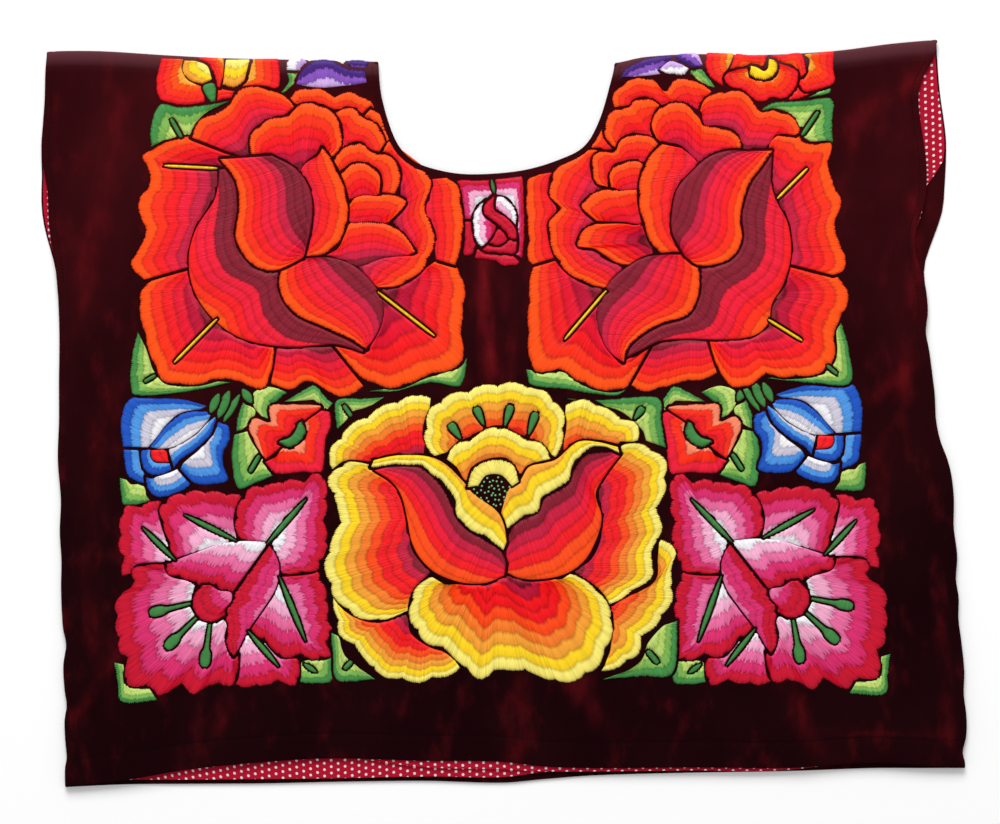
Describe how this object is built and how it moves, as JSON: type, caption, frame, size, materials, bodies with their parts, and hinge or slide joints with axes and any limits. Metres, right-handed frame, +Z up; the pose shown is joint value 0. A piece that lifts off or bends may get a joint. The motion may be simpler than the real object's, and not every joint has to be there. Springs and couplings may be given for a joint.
{
  "type": "embroidered velvet blouse laid flat",
  "caption": "Square-cut velvet blouse laid flat, with a U neck, open armholes, dotted cotton lining and dense flower embroidery on the front.",
  "frame": {"origin": "middle of the blouse's outline, on the surface that its back lies on", "axes": "+X across the shoulders to the right as seen from above, +Y from the hem to the shoulders, +Z up out of the embroidered front"},
  "size_m": [0.6979, 0.5677, 0.0081],
  "materials": {
    "velvet": "wine-dark cotton velvet with a crushed nap",
    "lining": "plain-woven red cotton with white pin dots",
    "thread_red": "satin stitch in orange, red, crimson and maroon thread",
    "thread_pink": "satin stitch in crimson, pink and white thread",
    "thread_yellow": "satin stitch in yellow, orange, red and maroon thread",
    "thread_blue": "satin stitch in blue and white thread",
    "thread_purple": "satin stitch in purple, lilac and white thread",
    "thread_green": "satin stitch in dark green and lime thread"
  },
  "bodies": {
    "root": {"velvet_body": "velvet", "cotton_lining": "lining", "rose_left": "thread_red", "rose_right": "thread_red", "bud_centre": "thread_pink", "lily_centre": "thread_yellow", "orchid_left": "thread_pink", "orchid_right": "thread_pink", "blue_flower_left": "thread_blue", "blue_flower_right": "thread_blue", "small_flower_left": "thread_red", "small_flower_right": "thread_red", "shoulder_flower_left": "thread_red", "shoulder_flower_right": "thread_red", "violet_left": "thread_purple", "violet_right": "thread_purple", "lily_centre_leaf_1": "thread_green", "lily_centre_leaf_2": "thread_green", "lily_centre_leaf_3": "thread_green", "orchid_left_leaf_1": "thread_green", "orchid_left_leaf_2": "thread_green", "orchid_right_leaf_1": "thread_green", "orchid_right_leaf_2": "thread_green", "blue_flower_left_leaf_1": "thread_green", "blue_flower_right_leaf_1": "thread_green", "small_flower_left_leaf_1": "thread_green", "small_flower_right_leaf_1": "thread_green", "violet_left_leaf_1": "thread_green"}
  },
  "joints": []
}
